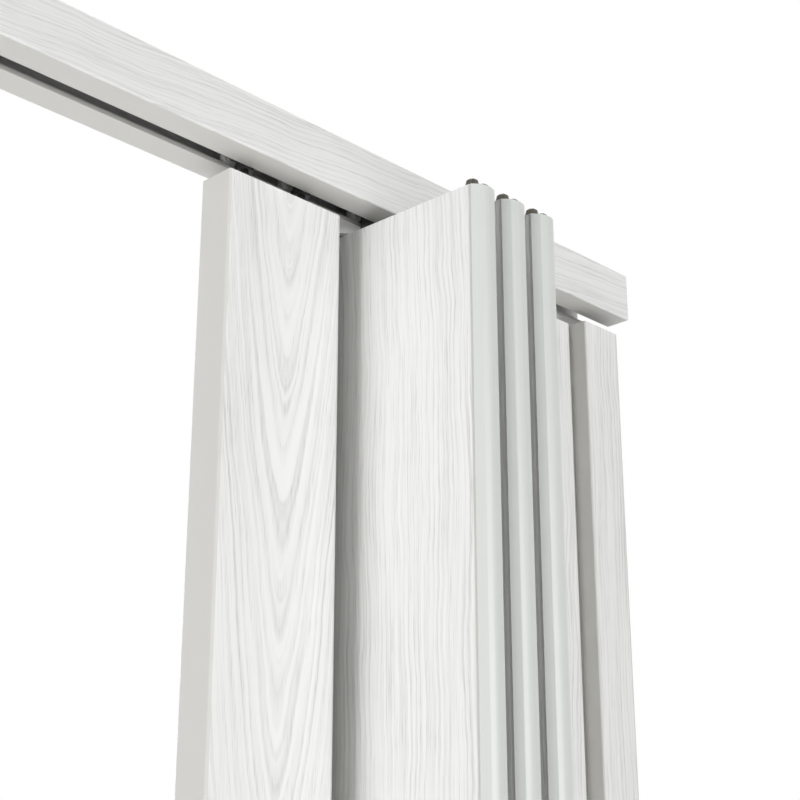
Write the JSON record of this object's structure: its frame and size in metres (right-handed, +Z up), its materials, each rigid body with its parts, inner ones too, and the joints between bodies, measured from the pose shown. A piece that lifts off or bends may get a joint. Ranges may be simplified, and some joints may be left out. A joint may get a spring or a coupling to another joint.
{
  "type": "accordion door",
  "caption": "Top-hung accordion door folded to one side: hollow panels hinged by extruded strips, a thick lead panel with handles, trolleys in a slotted head rail, and a fixed jamb post",
  "frame": {"origin": "middle of the line of four screw holes in the head rail, on the rail's top face", "axes": "+X along the rail towards the fixed jamb, +Y through the doorway away from the viewer of the picture, +Z up"},
  "size_m": [0.85, 0.1292, 2.05],
  "materials": {
    "foiled_pvc": "white foil with a pale ash grain, satin",
    "plain_pvc": "plain white satin extrusion",
    "channel_aluminium": "mill finish",
    "plug_nylon": "natural moulded nylon",
    "handle_plastic": "white, half gloss",
    "screw_steel": "dark zinc",
    "hanger_steel": "bright zinc",
    "trolley_nylon": "black moulded nylon",
    "wheel_nylon": "white nylon",
    "axle_steel": "bright steel"
  },
  "bodies": {
    "surround": {"head_rail": "foiled_pvc", "jamb_post": "foiled_pvc", "wall_channel": "channel_aluminium", "fixed_panel": "foiled_pvc", "fixed_joiner": "plain_pvc", "back_strip_4": "plain_pvc", "hanger_4": "hanger_steel", "hanger_4_fasteners": "screw_steel", "trolley_6": "trolley_nylon"},
    "lead": {"lead_panel": "foiled_pvc", "lead_top_plugs": "plug_nylon", "lead_bottom_cap": "plain_pvc", "lead_joiner": "plain_pvc", "lead_fasteners": "screw_steel", "back_strip_1": "plain_pvc", "hanger_1": "hanger_steel", "hanger_1_fasteners": "screw_steel", "trolley_1": "trolley_nylon", "trolley_2": "trolley_nylon", "trolley_3": "trolley_nylon", "handle_front": "handle_plastic", "handle_back": "handle_plastic", "handle_screws": "screw_steel"},
    "back_2": {"back_strip_2": "plain_pvc", "hanger_2": "hanger_steel", "hanger_2_fasteners": "screw_steel", "trolley_4": "trolley_nylon"},
    "back_3": {"back_strip_3": "plain_pvc", "hanger_3": "hanger_steel", "hanger_3_fasteners": "screw_steel", "trolley_5": "trolley_nylon"},
    "leaf_1": {"panel_1": "foiled_pvc", "panel_1_screws": "screw_steel"},
    "wheel_set_1": {"wheels_1": "wheel_nylon", "axle_1": "axle_steel"},
    "leaf_2": {"panel_2": "foiled_pvc", "panel_2_screws": "screw_steel"},
    "wheel_set_2": {"wheels_2": "wheel_nylon", "axle_2": "axle_steel"},
    "leaf_3": {"panel_3": "foiled_pvc", "panel_3_screws": "screw_steel"},
    "wheel_set_3": {"wheels_3": "wheel_nylon", "axle_3": "axle_steel"},
    "leaf_4": {"panel_4": "foiled_pvc", "panel_4_screws": "screw_steel"},
    "wheel_set_4": {"wheels_4": "wheel_nylon", "axle_4": "axle_steel"},
    "leaf_5": {"panel_5": "foiled_pvc", "panel_5_screws": "screw_steel"},
    "wheel_set_5": {"wheels_5": "wheel_nylon", "axle_5": "axle_steel"},
    "leaf_6": {"panel_6": "foiled_pvc", "panel_6_screws": "screw_steel"},
    "wheel_set_6": {"wheels_6": "wheel_nylon", "axle_6": "axle_steel"},
    "front_1": {"front_strip_1": "plain_pvc"},
    "front_2": {"front_strip_2": "plain_pvc"},
    "front_3": {"front_strip_3": "plain_pvc"}
  },
  "joints": [
    {"name": "fold", "type": "hinge", "parent": "surround", "child": "leaf_6", "pos_m": [0.2725, 0.00828, -1.038], "axis": [0, 0, -1], "range_deg": [0, 85]},
    {"name": "front_3_turn", "type": "hinge", "parent": "leaf_6", "child": "front_3", "pos_m": [0.27452, -0.0798, -1.038], "axis": [0, 0, 1], "range_deg": [0, 85]},
    {"name": "leaf_5_turn", "type": "hinge", "parent": "front_3", "child": "leaf_5", "pos_m": [0.26112, -0.0798, -1.038], "axis": [0, 0, 1], "range_deg": [0, 85]},
    {"name": "back_3_turn", "type": "hinge", "parent": "leaf_5", "child": "back_3", "pos_m": [0.26315, 0.00828, -1.038], "axis": [0, 0, -1], "range_deg": [0, 85]},
    {"name": "leaf_4_turn", "type": "hinge", "parent": "back_3", "child": "leaf_4", "pos_m": [0.24975, 0.00828, -1.038], "axis": [0, 0, -1], "range_deg": [0, 85]},
    {"name": "front_2_turn", "type": "hinge", "parent": "leaf_4", "child": "front_2", "pos_m": [0.25177, -0.0798, -1.038], "axis": [0, 0, 1], "range_deg": [0, 85]},
    {"name": "leaf_3_turn", "type": "hinge", "parent": "front_2", "child": "leaf_3", "pos_m": [0.23837, -0.0798, -1.038], "axis": [0, 0, 1], "range_deg": [0, 85]},
    {"name": "back_2_turn", "type": "hinge", "parent": "leaf_3", "child": "back_2", "pos_m": [0.2404, 0.00828, -1.038], "axis": [0, 0, -1], "range_deg": [0, 85]},
    {"name": "leaf_2_turn", "type": "hinge", "parent": "back_2", "child": "leaf_2", "pos_m": [0.227, 0.00828, -1.038], "axis": [0, 0, -1], "range_deg": [0, 85]},
    {"name": "front_1_turn", "type": "hinge", "parent": "leaf_2", "child": "front_1", "pos_m": [0.22902, -0.0798, -1.038], "axis": [0, 0, 1], "range_deg": [0, 85]},
    {"name": "leaf_1_turn", "type": "hinge", "parent": "front_1", "child": "leaf_1", "pos_m": [0.21562, -0.0798, -1.038], "axis": [0, 0, 1], "range_deg": [0, 85]},
    {"name": "lead_turn", "type": "hinge", "parent": "leaf_1", "child": "lead", "pos_m": [0.21765, 0.00828, -1.038], "axis": [0, 0, -1], "range_deg": [0, 85]},
    {"name": "wheel_set_1_roll", "type": "hinge", "parent": "lead", "child": "wheel_set_1", "pos_m": [0.134, 0, -0.0224], "axis": [0, 1, 0], "continuous": true},
    {"name": "wheel_set_2_roll", "type": "hinge", "parent": "lead", "child": "wheel_set_2", "pos_m": [0.17159, 0, -0.0224], "axis": [0, 1, 0], "continuous": true},
    {"name": "wheel_set_3_roll", "type": "hinge", "parent": "lead", "child": "wheel_set_3", "pos_m": [0.22035, 0, -0.0224], "axis": [0, 1, 0], "continuous": true},
    {"name": "wheel_set_4_roll", "type": "hinge", "parent": "back_2", "child": "wheel_set_4", "pos_m": [0.2431, 0, -0.0224], "axis": [0, 1, 0], "continuous": true},
    {"name": "wheel_set_5_roll", "type": "hinge", "parent": "back_3", "child": "wheel_set_5", "pos_m": [0.26585, 0, -0.0224], "axis": [0, 1, 0], "continuous": true},
    {"name": "wheel_set_6_roll", "type": "hinge", "parent": "surround", "child": "wheel_set_6", "pos_m": [0.2886, 0, -0.0224], "axis": [0, 1, 0], "continuous": true}
  ],
  "couplings": [
    {"joint": "front_3_turn", "follows": "fold", "ratio": 1},
    {"joint": "leaf_5_turn", "follows": "fold", "ratio": 1},
    {"joint": "back_3_turn", "follows": "fold", "ratio": 1},
    {"joint": "leaf_4_turn", "follows": "fold", "ratio": 1},
    {"joint": "front_2_turn", "follows": "fold", "ratio": 1},
    {"joint": "leaf_3_turn", "follows": "fold", "ratio": 1},
    {"joint": "back_2_turn", "follows": "fold", "ratio": 1},
    {"joint": "leaf_2_turn", "follows": "fold", "ratio": 1},
    {"joint": "front_1_turn", "follows": "fold", "ratio": 1},
    {"joint": "leaf_1_turn", "follows": "fold", "ratio": 1},
    {"joint": "lead_turn", "follows": "fold", "ratio": 1}
  ]
}
